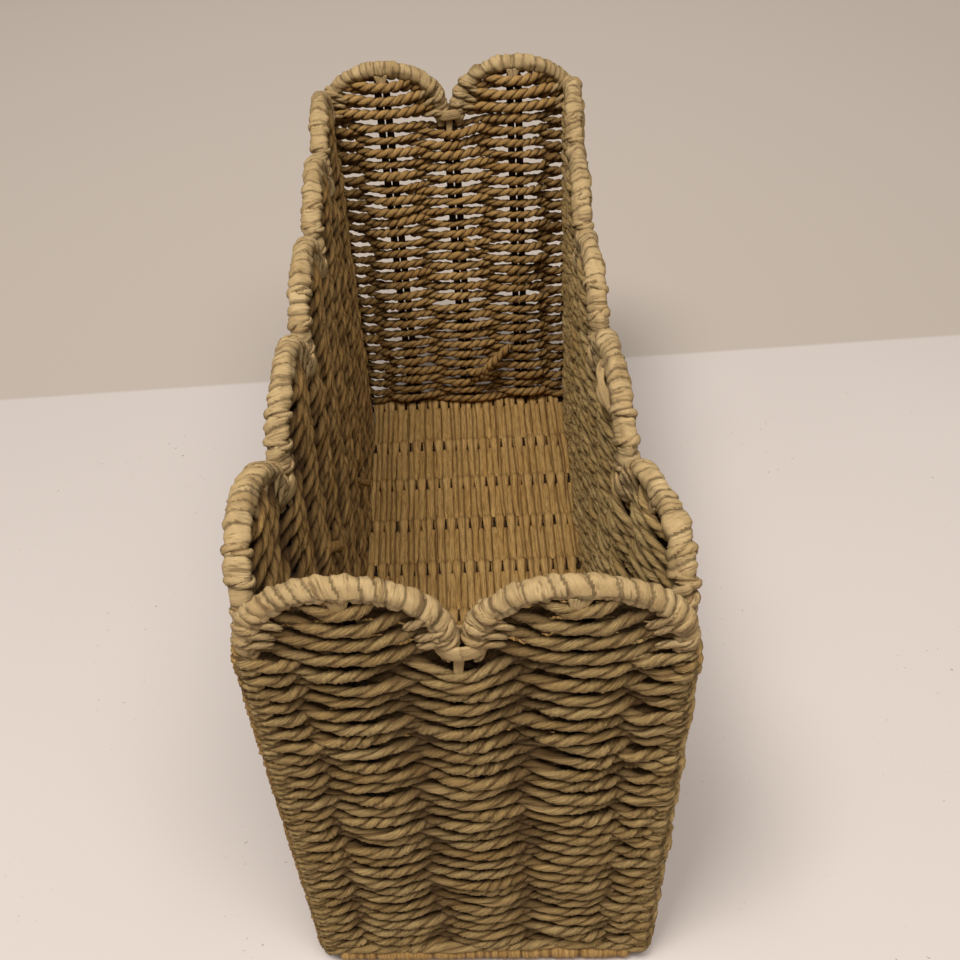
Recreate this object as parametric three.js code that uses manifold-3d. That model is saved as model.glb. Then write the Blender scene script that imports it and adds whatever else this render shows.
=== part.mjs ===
// Scalloped magazine basket: paper rope woven on a welded wire frame, with a rim bound in wound paper strip.
// Millimetres, +Z up. Origin at the middle of the underside, the long side along Y, the front facing -Y.

import * as THREE from "three";
import { mergeVertices } from "three/addons/utils/BufferGeometryUtils.js";
import Module from "manifold-3d";

const wasm = await Module();
wasm.setup();

// Driving dimensions

const OUTER_WIDTH = 124;
const OUTER_LENGTH = 322;
const RIM_HEIGHT = 207;
const FRONT_ARCHES = 2;
const SIDE_ARCHES = 5;

// The frame is bent from one gauge of wire, and every stake is a hairpin of it.
const WIRE_RADIUS = 1.7;
const HAIRPIN_SLIT = 0.5;
const FRAME_CORNER_RADIUS = 3;

// The rope lies this deep on each face of a stake, and draws in to the waist between two stakes.
// The shares say how full the weave is at places on the way from one stake to the next.
const ROPE_DEPTH = 3.2;
const WAIST_THICKNESS = 5;
const SLOPE_SHARES = [0, 0.14, 0.32, 0.5, 0.68, 0.86, 1];
const FULLNESS_SHARES = [1, 1, 0.35, 0, 0.35, 1, 1];

// The strip round the rim: its depth in the groove between two turns, the rise of a turn, and a turn's width.
const STRIP_DEPTH = 0.8;
const TURN_RISE = 0.7;
const TURN_WIDTH = 6.6;

// Each scallop is half an ellipse on two short upright legs.
const ARCH_RISE = 20.5;
const LEG_HEIGHT = 2.5;

// The tall sides draw in towards each other along the rim.
const SIDE_LEAN = 7;

const CLEARANCE = 0.3;
const CUT_OVERRUN = 1;

// Counts of flats and steps
const WIRE_FLATS = 6;
const STRIP_FLATS = 8;
const ARCH_STEPS = 8;
const OUTLINE_STEPS = 12;
const BEND_STEPS = 3;
const CORNER_STEPS = 4;
const LENGTH_STEPS = 400;

// Worked out from the driving dimensions

const BORE_RADIUS = WIRE_RADIUS + CLEARANCE;
const GROOVE_RADIUS = BORE_RADIUS + STRIP_DEPTH;
const TURN_RADIUS = GROOVE_RADIUS + TURN_RISE;
const HAIRPIN_HALF = WIRE_RADIUS + HAIRPIN_SLIT / 2;
const SWELL = WIRE_RADIUS + CLEARANCE + ROPE_DEPTH;
const WAIST = WAIST_THICKNESS / 2;

// Half spans between the middles of facing walls
const HALF_WIDTH = OUTER_WIDTH / 2 - SWELL;
const HALF_LENGTH = OUTER_LENGTH / 2 - SWELL;
const BETWEEN_ENDS = HALF_LENGTH - SWELL - CLEARANCE;
const SIDE_LEAN_AT_BASE = (SIDE_LEAN * 2 * SWELL) / RIM_HEIGHT;
const BETWEEN_SIDES = HALF_WIDTH - SWELL - CLEARANCE - SIDE_LEAN_AT_BASE;

// Heights on the rim, from the crest of a scallop down to the top of the weave in a notch
const CREST_Z = RIM_HEIGHT - TURN_RADIUS;
const SPRING_Z = CREST_Z - ARCH_RISE;
const LEG_Z = SPRING_Z - LEG_HEIGHT;
const NOTCH_HALF = TURN_RADIUS + CLEARANCE / 2;
const NOTCH_WEAVE_Z = LEG_Z - CLEARANCE;
const CREST_WEAVE_Z = CREST_Z - TURN_RADIUS - CLEARANCE;
const NOTCH_STAKE_Z = NOTCH_WEAVE_Z - NOTCH_HALF - WIRE_RADIUS - CLEARANCE;

// The bottom frame lies in the middle of the base weave, and the stakes stand on it.
const FRAME_Z = SWELL;
const FOOT_Z = FRAME_Z + WIRE_RADIUS + CLEARANCE;

const wireFinish = () => new THREE.MeshStandardMaterial({ color: 0x1e140d, roughness: 0.6, metalness: 0.4 });
const ropeFinish = () => new THREE.MeshStandardMaterial({ color: 0x9a7a4c, roughness: 0.85, metalness: 0 });
const stripFinish = () => new THREE.MeshStandardMaterial({ color: 0xbd9e6f, roughness: 0.75, metalness: 0 });

// Front, right, back and left, each in a frame of its own: X along the wall and Y inwards
const walls = ["front", "right", "back", "left"].map((name, quarterTurns) => {
  const isEnd = quarterTurns % 2 === 0;
  const arches = isEnd ? FRONT_ARCHES : SIDE_ARCHES;
  // An end wall's outer scallops stand over the corners, and a side's stand just inside its own ends.
  const archSpan = isEnd ? HALF_WIDTH : BETWEEN_ENDS - TURN_RADIUS;
  const archHalf = (archSpan - NOTCH_HALF * (arches - 1)) / arches;
  return {
    name,
    quarterTurns,
    isEnd,
    arches,
    archSpan,
    archHalf,
    stakeStep: archHalf + NOTCH_HALF,
    distance: isEnd ? HALF_LENGTH : HALF_WIDTH,
    reach: isEnd ? OUTER_WIDTH / 2 : BETWEEN_ENDS,
    cornerAt: isEnd ? HALF_WIDTH : HALF_LENGTH,
    lean: isEnd ? 0 : SIDE_LEAN,
  };
});

// Even stakes stand under a crest, odd ones under a notch.
function stakePlaces(wall) {
  return Array.from({ length: 2 * wall.arches - 1 }, (_, i) => ({
    at: -wall.archSpan + wall.archHalf + i * wall.stakeStep,
    underCrest: i % 2 === 0,
  }));
}

// Meshes and solids

function geometryOf(points, triangles) {
  const geometry = new THREE.BufferGeometry();
  geometry.setFromPoints(points);
  geometry.setIndex(triangles);
  return geometry;
}

function solidOf(geometry) {
  const bare = geometry.clone();
  bare.deleteAttribute("normal");
  bare.deleteAttribute("uv");
  const merged = mergeVertices(bare);
  return new wasm.Manifold(
    new wasm.Mesh({
      numProp: 3,
      vertProperties: merged.attributes.position.array,
      triVerts: new Uint32Array(merged.index.array),
    }),
  );
}

function geometryFromSolid(solid) {
  const mesh = solid.getMesh();
  const geometry = new THREE.BufferGeometry();
  geometry.setAttribute("position", new THREE.BufferAttribute(mesh.vertProperties, 3));
  geometry.setIndex(new THREE.BufferAttribute(mesh.triVerts, 1));
  return geometry;
}

function cut(geometry, tools) {
  const carved = tools.reduce((solid, tool) => solid.subtract(solidOf(tool)), solidOf(geometry));
  return geometryFromSolid(carved);
}

// The normal at a point of a bent wire, in the plane of the bend, longer at a mitre to keep the gauge
function mitreNormal(points, i, closed) {
  const count = points.length;
  const before = closed ? points[(i + count - 1) % count] : points[Math.max(i - 1, 0)];
  const after = closed ? points[(i + 1) % count] : points[Math.min(i + 1, count - 1)];
  const into = points[i].clone().sub(before);
  const out = after.clone().sub(points[i]);
  if (into.lengthSq() === 0) into.copy(out);
  if (out.lengthSq() === 0) out.copy(into);
  into.normalize();
  out.normalize();
  const tangent = into.clone().add(out).normalize();
  return new THREE.Vector2(-tangent.y, tangent.x).divideScalar(tangent.dot(into));
}

// A ring of points round a centre in the upright plane of a bend, the plane's own normal being Y.
function ringPoint(centre, normal, radius, angle) {
  const across = radius * Math.cos(angle);
  return new THREE.Vector3(
    centre.x + across * normal.x,
    -radius * Math.sin(angle),
    centre.y + across * normal.y,
  );
}

// A wire along points (x, z) of the upright plane y = 0, as one closed pipe.
function wirePipe(points, radius, closed = false) {
  const vertices = [];
  const triangles = [];
  points.forEach((centre, i) => {
    const normal = mitreNormal(points, i, closed);
    for (let k = 0; k < WIRE_FLATS; k++) {
      const angle = ((k + 1 / 2) / WIRE_FLATS) * 2 * Math.PI;
      vertices.push(ringPoint(centre, normal, radius, angle));
    }
  });
  const spans = closed ? points.length : points.length - 1;
  for (let i = 0; i < spans; i++) {
    const low = i * WIRE_FLATS;
    const high = ((i + 1) % points.length) * WIRE_FLATS;
    for (let k = 0; k < WIRE_FLATS; k++) {
      const next = (k + 1) % WIRE_FLATS;
      triangles.push(low + k, low + next, high + next, low + k, high + next, high + k);
    }
  }
  if (!closed) {
    const last = (points.length - 1) * WIRE_FLATS;
    for (let k = 1; k < WIRE_FLATS - 1; k++) {
      triangles.push(0, k + 1, k, last, last + k, last + k + 1);
    }
  }
  return geometryOf(vertices, triangles);
}

// Half an oval of points from one foot to the other, depth below them (or above, if negative).
function bendPoints(middle, footZ, half, depth) {
  return Array.from({ length: BEND_STEPS + 1 }, (_, i) => {
    const angle = (i / BEND_STEPS) * Math.PI;
    return new THREE.Vector2(middle - half * Math.cos(angle), footZ - depth * Math.sin(angle));
  });
}

// A hairpin with two feet on the line z = foot and its bend reaching up to z = top.
function hairpin(middle, foot, top) {
  const bendZ = top - WIRE_RADIUS - HAIRPIN_HALF;
  return wirePipe(
    [
      new THREE.Vector2(middle - HAIRPIN_HALF, foot),
      ...bendPoints(middle, bendZ, HAIRPIN_HALF, -HAIRPIN_HALF),
      new THREE.Vector2(middle + HAIRPIN_HALF, foot),
    ],
    WIRE_RADIUS,
  );
}

// A slot that lets a hairpin pass with clearance all round it
function hairpinSlot(length) {
  return new THREE.BoxGeometry(
    2 * (HAIRPIN_HALF + WIRE_RADIUS + CLEARANCE),
    2 * (WIRE_RADIUS + CLEARANCE),
    length,
  );
}

// One scallop of the rim: up a leg, over the arch and down the other leg
class ScallopCurve extends THREE.Curve {
  constructor(middle, half) {
    super();
    this.middle = middle;
    this.half = half;
    this.arcLengthDivisions = LENGTH_STEPS;
    // The share of the curve's parameter that each leg takes, near its share of the length
    this.legShare = LEG_HEIGHT / (2 * LEG_HEIGHT + Math.PI * ((half + ARCH_RISE) / 2));
  }

  archPoint(angle) {
    const across = this.half * Math.cos(angle);
    return new THREE.Vector2(this.middle - across, SPRING_Z + ARCH_RISE * Math.sin(angle));
  }

  getPoint(share) {
    if (share < this.legShare) {
      return new THREE.Vector2(this.middle - this.half, LEG_Z + (LEG_HEIGHT * share) / this.legShare);
    }
    if (share > 1 - this.legShare) {
      return new THREE.Vector2(this.middle + this.half, LEG_Z + (LEG_HEIGHT * (1 - share)) / this.legShare);
    }
    return this.archPoint(((share - this.legShare) / (1 - 2 * this.legShare)) * Math.PI);
  }

  // Points for the wire and the bore round it, which share them so that their flats stay parallel
  stations() {
    const arch = Array.from({ length: ARCH_STEPS + 1 }, (_, i) => this.archPoint((i / ARCH_STEPS) * Math.PI));
    return [
      new THREE.Vector2(this.middle - this.half, LEG_Z),
      ...arch,
      new THREE.Vector2(this.middle + this.half, LEG_Z),
    ];
  }

  // The edge of the weave under the scallop, from left to right, clear of the wound strip
  weaveEdge() {
    const inset = TURN_RADIUS + CLEARANCE;
    const edge = [new THREE.Vector2(this.middle - this.half + inset, NOTCH_WEAVE_Z)];
    for (let i = 0; i <= OUTLINE_STEPS; i++) {
      const share = this.legShare + (i / OUTLINE_STEPS) * (1 - 2 * this.legShare);
      const at = this.getPoint(share);
      const tangent = this.getTangent(share);
      edge.push(new THREE.Vector2(at.x + inset * tangent.y, at.y - inset * tangent.x));
    }
    edge.push(new THREE.Vector2(this.middle + this.half - inset, NOTCH_WEAVE_Z));
    return edge;
  }
}

function scallops(wall) {
  return Array.from(
    { length: wall.arches },
    (_, i) => new ScallopCurve(-wall.archSpan + wall.archHalf + 2 * i * wall.stakeStep, wall.archHalf),
  );
}

// The strip wound round one scallop. Groove and ridge are two unbroken spirals that run side by side,
// with a plain ring at each end and a bore through the whole for the rim wire.
function woundStrip(curve) {
  const length = curve.getLength();
  const turns = Math.round(length / TURN_WIDTH);
  const land = (TURN_RISE * turns) / (turns + 1);
  const pitch = (length - 2 * land) / turns;
  const vertices = [];
  const triangles = [];
  const quad = (a, b, c, d) => triangles.push(a, b, c, a, c, d);

  const pointAt = (distance, radius, step, flats) => {
    const share = THREE.MathUtils.clamp(distance / length, 0, 1);
    const tangent = curve.getTangentAt(share);
    const normal = new THREE.Vector2(-tangent.y, tangent.x);
    const angle = ((step + 1 / 2) / flats) * 2 * Math.PI;
    return ringPoint(curve.getPointAt(share), normal, radius, angle);
  };
  const addRun = (count, place) => {
    const first = vertices.length;
    for (let i = 0; i < count; i++) vertices.push(place(i));
    return (i) => first + i;
  };

  const stations = curve.stations();
  const bore = stations.map((centre, i) => {
    const normal = mitreNormal(stations, i, false);
    return addRun(WIRE_FLATS, (k) => {
      const angle = ((k + 1 / 2) / WIRE_FLATS) * 2 * Math.PI;
      return ringPoint(centre, normal, BORE_RADIUS, angle);
    });
  });
  for (let i = 0; i + 1 < bore.length; i++) {
    for (let k = 0; k < WIRE_FLATS; k++) {
      const next = (k + 1) % WIRE_FLATS;
      quad(bore[i](next), bore[i](k), bore[i + 1](k), bore[i + 1](next));
    }
  }

  const lastStep = STRIP_FLATS * (turns - 1);
  const startRing = addRun(STRIP_FLATS, (i) => pointAt(0, GROOVE_RADIUS, i, STRIP_FLATS));
  const endRing = addRun(STRIP_FLATS, (i) => pointAt(length, GROOVE_RADIUS, i, STRIP_FLATS));
  const groove = addRun(STRIP_FLATS * turns + 1, (i) =>
    pointAt(land + (pitch * i) / STRIP_FLATS, GROOVE_RADIUS, i, STRIP_FLATS),
  );
  const ridge = addRun(lastStep + 1, (i) =>
    pointAt(land + pitch * (i / STRIP_FLATS + 1 / 2), TURN_RADIUS, i, STRIP_FLATS),
  );
  for (let i = 0; i < lastStep; i++) {
    quad(groove(i), groove(i + 1), ridge(i + 1), ridge(i));
    quad(ridge(i), ridge(i + 1), groove(i + 1 + STRIP_FLATS), groove(i + STRIP_FLATS));
  }
  for (let i = 0; i < STRIP_FLATS; i++) {
    const next = (i + 1) % STRIP_FLATS;
    quad(startRing(i), startRing(next), groove(i + 1), groove(i));
    quad(groove(lastStep + i), groove(lastStep + i + 1), endRing(next), endRing(i));
  }
  // The cut ends of the strip, where the first turn starts and the last one stops
  quad(startRing(0), groove(0), ridge(0), groove(STRIP_FLATS));
  quad(endRing(0), groove(lastStep + STRIP_FLATS), ridge(lastStep), groove(lastStep));

  // Flat end faces between the outer ring and the bore, which both look down
  const closeEnd = (outerRing, innerRing) => {
    const ring = [
      ...Array.from({ length: STRIP_FLATS }, (_, i) => outerRing(i)),
      ...Array.from({ length: WIRE_FLATS }, (_, i) => innerRing(i)),
    ];
    const flat = ring.map((index) => new THREE.Vector2(vertices[index].x, vertices[index].y));
    const faces = THREE.ShapeUtils.triangulateShape(flat.slice(0, STRIP_FLATS), [flat.slice(STRIP_FLATS)]);
    for (const [a, b, c] of faces) triangles.push(ring[a], ring[c], ring[b]);
  };
  closeEnd(startRing, bore[0]);
  closeEnd(endRing, bore[bore.length - 1]);
  return geometryOf(vertices, triangles);
}

// Half the thickness of the weave: full over a stake, drawn in midway between two
function weaveHalfThickness(at, stakes) {
  const after = stakes.findIndex((stake) => stake >= at);
  if (after <= 0) return SWELL;
  const share = (at - stakes[after - 1]) / (stakes[after] - stakes[after - 1]);
  const step = SLOPE_SHARES.findIndex((slopeShare) => slopeShare >= share);
  if (step <= 0) return SWELL;
  const along = (share - SLOPE_SHARES[step - 1]) / (SLOPE_SHARES[step] - SLOPE_SHARES[step - 1]);
  const fullness = THREE.MathUtils.lerp(FULLNESS_SHARES[step - 1], FULLNESS_SHARES[step], along);
  return WAIST + (SWELL - WAIST) * fullness;
}

// Where the faces of a weave bend: beside each stake, on the slope and at the waist
function weaveBreaks(stakes, reach) {
  const breaks = [];
  for (let i = 0; i + 1 < stakes.length; i++) {
    for (const share of SLOPE_SHARES.slice(1, -1)) {
      breaks.push(stakes[i] + share * (stakes[i + 1] - stakes[i]));
    }
  }
  return breaks.filter((at) => Math.abs(at) < reach - CLEARANCE);
}

function weaveShape(stakes, reach, cornerAt) {
  const roundsCorner = cornerAt < reach;
  const breaks = weaveBreaks(stakes, reach);
  const shape = new THREE.Shape();
  const outer = breaks.map((at) => new THREE.Vector2(at, -weaveHalfThickness(at, stakes)));
  const inner = breaks.map((at) => new THREE.Vector2(at, weaveHalfThickness(at, stakes))).reverse();
  const corner = (side) => {
    if (!roundsCorner) {
      const half = weaveHalfThickness(reach, stakes);
      const ends = [new THREE.Vector2(side * reach, -half), new THREE.Vector2(side * reach, half)];
      return side > 0 ? ends : ends.reverse();
    }
    // The rope turns round the corner post here.
    const arc = Array.from({ length: CORNER_STEPS + 1 }, (_, i) => {
      const angle = (i / CORNER_STEPS) * (Math.PI / 2);
      return new THREE.Vector2(side * (cornerAt + SWELL * Math.sin(angle)), -SWELL * Math.cos(angle));
    });
    const ends = [...arc, new THREE.Vector2(side * reach, SWELL)];
    return side > 0 ? ends : ends.reverse();
  };
  shape.setFromPoints([...outer, ...corner(1), ...inner, ...corner(-1)]);
  return shape;
}

// The bottom frame, a rounded oblong lying flat
function bottomFrame(radius) {
  const corners = [
    [1, 1],
    [-1, 1],
    [-1, -1],
    [1, -1],
  ];
  const points = corners.flatMap(([sideX, sideY], quarter) =>
    Array.from({ length: CORNER_STEPS + 1 }, (_, i) => {
      const angle = (quarter + i / CORNER_STEPS) * (Math.PI / 2);
      return new THREE.Vector2(
        sideX * (HALF_WIDTH - FRAME_CORNER_RADIUS) + FRAME_CORNER_RADIUS * Math.cos(angle),
        sideY * (HALF_LENGTH - FRAME_CORNER_RADIUS) + FRAME_CORNER_RADIUS * Math.sin(angle),
      );
    }),
  );
  return wirePipe(points, radius, true).rotateX(-Math.PI / 2).translate(0, 0, FRAME_Z);
}

const crossWirePlaces = stakePlaces(walls[1]).map((stake) => stake.at);

// Slots across the base for the cross wires, open to the bottom frame at both sides
function crossWireSlots() {
  return crossWirePlaces.map((place) =>
    hairpinSlot(2 * HALF_WIDTH).rotateY(Math.PI / 2).rotateX(Math.PI / 2).translate(0, place, FRAME_Z),
  );
}

// A solid of the whole basket seen from inside one wall's own frame
function toWallFrame(geometry, wall) {
  return geometry.rotateZ((-wall.quarterTurns * Math.PI) / 2).translate(0, wall.distance, 0);
}

// The rim draws inwards most at the middle of a side, and not at all at its ends or its foot.
function leanIn(geometry, wall) {
  if (wall.lean === 0) return geometry;
  const place = geometry.attributes.position;
  for (let i = 0; i < place.count; i++) {
    const height = Math.max(0, place.getZ(i) - FOOT_Z) / (RIM_HEIGHT - FOOT_Z);
    const along = place.getX(i) / wall.reach;
    place.setY(i, place.getY(i) + wall.lean * height * (1 - along * along));
  }
  return geometry;
}

// The woven face of one wall, cut to the scallops and hollowed for the wires inside it
function weavePanel(wall) {
  const stakes = stakePlaces(wall);
  const knots = [-wall.cornerAt, ...stakes.map((stake) => stake.at), wall.cornerAt];
  const slab = new THREE.ExtrudeGeometry(weaveShape(knots, wall.reach, wall.cornerAt), {
    depth: RIM_HEIGHT,
    bevelEnabled: false,
  });

  const outline = new THREE.Shape();
  outline.moveTo(-wall.reach - CUT_OVERRUN, -CUT_OVERRUN);
  outline.lineTo(wall.reach + CUT_OVERRUN, -CUT_OVERRUN);
  outline.lineTo(wall.reach + CUT_OVERRUN, NOTCH_WEAVE_Z);
  const edges = scallops(wall).map((curve) => curve.weaveEdge());
  for (const edge of edges.reverse()) {
    for (const point of edge.reverse()) outline.lineTo(point.x, point.y);
  }
  outline.lineTo(-wall.reach - CUT_OVERRUN, NOTCH_WEAVE_Z);
  const cutterDepth = 2 * (SWELL + CUT_OVERRUN);
  const cutter = new THREE.ExtrudeGeometry(outline, { depth: cutterDepth, bevelEnabled: false })
    .rotateX(Math.PI / 2)
    .translate(0, cutterDepth / 2, 0);
  const scalloped = geometryFromSolid(solidOf(slab).intersect(solidOf(cutter)));

  const slotLength = RIM_HEIGHT - FRAME_Z;
  const tools = stakes.map((stake) =>
    hairpinSlot(slotLength).translate(stake.at, 0, FRAME_Z + slotLength / 2),
  );
  tools.push(toWallFrame(bottomFrame(BORE_RADIUS), wall));
  tools.push(wirePipe(rimPath(wall, CLEARANCE), BORE_RADIUS));
  if (!wall.isEnd) tools.push(...crossWireSlots().map((slot) => toWallFrame(slot, wall)));
  return leanIn(cut(scalloped, tools), wall);
}

// The way of one wall's rim wire, up and down over the scallops with a small bend under each notch.
// On an end wall it also runs down both corners as the corner posts, and on a side it ends in the weave.
function rimPath(wall, overrun) {
  const curves = scallops(wall);
  const endZ = (wall.isEnd ? FOOT_Z : NOTCH_STAKE_Z) - overrun;
  const points = [new THREE.Vector2(-wall.archSpan, endZ)];
  curves.forEach((curve, i) => {
    points.push(...curve.stations());
    if (i + 1 < curves.length) {
      const notch = curve.middle + wall.stakeStep;
      points.push(...bendPoints(notch, NOTCH_WEAVE_Z, NOTCH_HALF, NOTCH_HALF));
    }
  });
  points.push(new THREE.Vector2(wall.archSpan, endZ));
  return points;
}

// The weave of the base, swelling over each cross wire as a wall does over its stakes
function baseWeave() {
  const knots = [-HALF_LENGTH, ...crossWirePlaces, HALF_LENGTH];
  const slab = new THREE.ExtrudeGeometry(weaveShape(knots, BETWEEN_ENDS, HALF_LENGTH), {
    depth: 2 * BETWEEN_SIDES,
    bevelEnabled: false,
  });
  slab.rotateX(Math.PI / 2).rotateZ(Math.PI / 2).translate(-BETWEEN_SIDES, 0, FRAME_Z);
  return cut(slab, crossWireSlots());
}

function addPiece(group, name, geometry, material) {
  const mesh = new THREE.Mesh(geometry, material);
  mesh.name = name;
  group.add(mesh);
  return mesh;
}

function buildWall(wall) {
  const group = new THREE.Group();
  group.rotation.z = (wall.quarterTurns * Math.PI) / 2;
  const plane = new THREE.Group();
  plane.position.y = -wall.distance;
  group.add(plane);
  addPiece(plane, `${wall.name}_weave`, weavePanel(wall), ropeFinish());
  const rimWire = leanIn(wirePipe(rimPath(wall, 0), WIRE_RADIUS), wall);
  addPiece(plane, `${wall.name}_rim_wire`, rimWire, wireFinish());
  scallops(wall).forEach((curve, i) => {
    addPiece(plane, `${wall.name}_rim_strip_${i + 1}`, leanIn(woundStrip(curve), wall), stripFinish());
  });
  stakePlaces(wall).forEach((stake, i) => {
    const top = stake.underCrest ? CREST_WEAVE_Z : NOTCH_STAKE_Z;
    const stakeWire = leanIn(hairpin(stake.at, FOOT_Z, top), wall);
    addPiece(plane, `${wall.name}_stake_${i + 1}`, stakeWire, wireFinish());
  });
  return group;
}

function buildBase() {
  const group = new THREE.Group();
  addPiece(group, "bottom_frame", bottomFrame(WIRE_RADIUS), wireFinish());
  crossWirePlaces.forEach((place, i) => {
    const end = HALF_WIDTH - WIRE_RADIUS - CLEARANCE;
    const wire = hairpin(0, -end, end).rotateX(-Math.PI / 2).rotateZ(Math.PI / 2);
    addPiece(group, `cross_wire_${i + 1}`, wire, wireFinish()).position.set(0, place, FRAME_Z);
  });
  addPiece(group, "base_weave", baseWeave(), ropeFinish());
  return group;
}

const basket = new THREE.Group();
basket.add(buildBase(), ...walls.map(buildWall));

export default basket;
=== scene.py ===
import math

import bpy
import numpy as np
from mathutils import Matrix, Vector


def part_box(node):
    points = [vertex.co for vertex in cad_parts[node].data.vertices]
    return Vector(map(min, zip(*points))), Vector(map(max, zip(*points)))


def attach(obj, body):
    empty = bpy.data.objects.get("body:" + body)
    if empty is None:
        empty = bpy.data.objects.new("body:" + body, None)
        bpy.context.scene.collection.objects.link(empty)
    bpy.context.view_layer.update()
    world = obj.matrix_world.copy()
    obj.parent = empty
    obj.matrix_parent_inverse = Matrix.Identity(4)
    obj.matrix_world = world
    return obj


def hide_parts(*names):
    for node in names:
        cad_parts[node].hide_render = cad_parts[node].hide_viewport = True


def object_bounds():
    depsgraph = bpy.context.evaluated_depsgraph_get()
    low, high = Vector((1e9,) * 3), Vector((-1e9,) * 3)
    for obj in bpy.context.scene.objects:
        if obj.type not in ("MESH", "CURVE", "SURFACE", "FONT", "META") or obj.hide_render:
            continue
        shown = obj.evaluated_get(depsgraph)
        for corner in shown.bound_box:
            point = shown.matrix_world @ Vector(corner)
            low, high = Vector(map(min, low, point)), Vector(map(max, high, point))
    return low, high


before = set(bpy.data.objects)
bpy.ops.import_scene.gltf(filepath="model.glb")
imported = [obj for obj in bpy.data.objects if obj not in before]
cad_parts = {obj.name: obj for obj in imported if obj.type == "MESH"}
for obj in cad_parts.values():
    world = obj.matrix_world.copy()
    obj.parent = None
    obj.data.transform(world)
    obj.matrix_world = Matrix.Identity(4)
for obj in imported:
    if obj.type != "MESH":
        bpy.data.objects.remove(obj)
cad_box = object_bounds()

# All sizes are in millimetres, in the part's own frame: +Z up, the long side along Y, the front facing -Y.
# What differs from wall to wall is listed in the order front, right, back, left.
MM = 0.001
FULL_TURN = 2 * math.pi

# Wire and rope
WIRE_RADIUS = 1.7
HAIRPIN_SLIT = 0.5
ROPE_DEPTH = 3.5
ROPE_HEIGHT = 4.5
STAKE_ROPE_HEIGHT = np.array([4.7, 3.8, 4.1, 3.8])
# One turn of the two plies takes this length.
ROPE_LAY = np.array([15, 19, 9.5, 19])
# The rope is fuller by this share where it passes inside the stakes.
FULLER_INSIDE = np.array([0.5, 0.1, 0.12, 0.1])
RING_STEP = 1.4
GRAIN_REACH = 400

# Rope section in the rope's own turning frame: two plies with a narrow groove between them
ANGLES = np.radians([0, 26, 64, 116, 154, 180, 206, 244, 296, 334])
SHARES = np.array([0.5, 0.85, 1, 1, 0.85, 0.5, 0.85, 1, 1, 0.85])
# Painted shade in the groove between the plies: the deeper the section draws in, the darker
GROOVE_SHADE = np.clip((1 - SHARES) / (1 - SHARES.min()), 0, 1)

# Rows
ROW_STEP = 3.08
ROW_OVERLAP = np.array([0.65, 0.15, 0.4, 0.15])
ROW_POINT_STEP = 1.2
TOP_ROW_GAP = 1.2
TOP_ROW_TONE = 1.5
ROW_TONE_SPREAD = 0.6
FLOOR_GAP = 0.05
# A row's random offsets fade out this near to where it starts and ends.
SEAM_FADE = 30

# The rope bears on a stake for this share of its way to the next one, and sags there on the outside.
HOLD_SHARE = 0.06
LAST_HOLD_SHARE = 0.22
STRAIGHT_SHARE = 0.45
ROPE_SAG = np.array([2, 1.3, 0.2, 1.3])
INSIDE_RISE_SHARE = 0.3

# Under a notch the top row hangs this low, and the rows below it less and less.
NOTCH_SAG = np.array([4.5, 1.5, 4.5, 1.5])
NOTCH_SAG_ROWS = 3
NOTCH_SAG_REACH = 15

# Every row goes round the corner posts. CORNER_PASS before a post, every other row is still inside.
CORNER_RUN = 8
CORNER_PASS = 5
CORNER_IN = 1
CORNER_DEGREES = [18, 36, 54, 72]

# The end walls begin with this row, which bears on the outside of every stake.
END_FIRST_ROW = 2
END_FIRST_RISE = 1.3

# Painted shade on the rope that lies deep in a wall, as a share of the painted shade in a groove between plies.
# It begins at the second of these shares of the way out from the middle of the wall to its face.
DEPTH_PAINTED_SHADE = np.array([0.95, 0.6, 0.55, 1.0])
SHADE_FROM = np.array([0.9, 0.76, 0.75, 0.97])
SHADE_FADE_SHARE = 0.5

# How strands stray: after which length, and how far
CROSSING_STRAY = (21, 1.6)
HEIGHT_STRAY = (14, 0.42)
DEPTH_STRAY = (17, 0.34)
TURN_STRAY = (18, 1.3)
FULLNESS_STRAY = (11, 0.12)
TONE_STRAY = (45, 0.6)
SHORT_STRAY = (9, 0.25)
TAIL_STRAY = (4, 0.12)
BASE_STRAY = (16, 0.15)
BASE_TONE_STRAY = (50, 0.5)

# How strands draw in at their ends: over which length, to which share
CORNER_TUCK = (14, 0.2)
SHORT_TAPER = (4, 0.6)
LOOP_TAPER = (5, 0.4)
TAIL_TAPER = (4, 0.45)

# Slow waves that neighbouring rows share, in radians for each millimetre along the row and up the wall
WAVES_SHARED = 5
WAVE_HEIGHT = 0.28
WAVE_ALONG = (0.02, 0.075)
WAVE_UP = (-0.03, 0.03)

# Short rows under a scallop. Their ends climb, higher up more, and keep clear of the binding.
SHORT_SHARE = np.array([1, 1, 1.2, 1])
SHORT_TOP_GAP = 0.8
SHORT_CLIMB = 2.2
SHORT_MORE_CLIMB = 2
SHORT_LEAST_CLIMB = 0.1
SHORT_END_GAP = 2.6
SHORT_INSET = 0.6
SHORT_POINTS = 60
SHORT_HOLD_SHARE = 0.15
SHORT_CURVE = 2.6
SHORT_TONE = (0.1, 0.6)

# The strip wound round the rim
LEG_HEIGHT = 2.5
LEG_TUCK = 6
TUCKED_SHARE = 0.5
SCALLOP_POINTS = 181
RIM_FLATS = 20
RIM_STEP = 0.55
TURN_RADIUS = 3.5
TURN_SWELL = 0.05
TURN_WIDTH = 4.3
TURN_WIDTH_SHARES = (0.5, 1.6)
TURN_WAVE = 0.7
TURN_WAVE_RUN = 9
TURN_BULGE = 0.3
TURN_EDGE_SHARE = 0.02
TURN_ROUNDNESS = 0.42
TURN_TONE_SPREAD = 0.7
TURN_GRAIN_STEPS = (37.0, 11.0)
GROOVE_DEPTH = 1
GROOVE_DEPTH_SHARES = (0.5, 1.25)
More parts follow.
